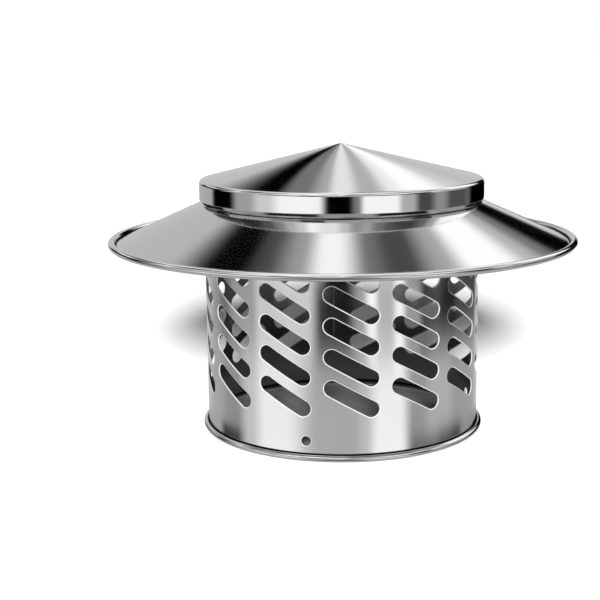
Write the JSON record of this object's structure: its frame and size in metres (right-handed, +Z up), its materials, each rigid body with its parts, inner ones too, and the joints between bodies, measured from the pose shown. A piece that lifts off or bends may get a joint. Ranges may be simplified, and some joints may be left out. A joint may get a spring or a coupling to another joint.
{
  "type": "chimney cap",
  "caption": "Round rain cap for a flue: a coned lid and a wide sloping skirt on a slotted pipe with a rolled bottom bead.",
  "frame": {"origin": "on the pipe's axis, at the flat face under the bottom bead", "axes": "+Z up the pipe's axis towards the lid's tip, -Y to the front"},
  "size_m": [0.2542, 0.2542, 0.1554],
  "materials": {
    "pipe_steel": "polished stainless sheet, slightly less bright than the skirt and lid",
    "skirt_steel": "polished stainless sheet",
    "lid_steel": "polished stainless sheet"
  },
  "bodies": {
    "root": {"slotted_pipe": "pipe_steel", "skirt": "skirt_steel", "lid": "lid_steel"}
  },
  "joints": []
}
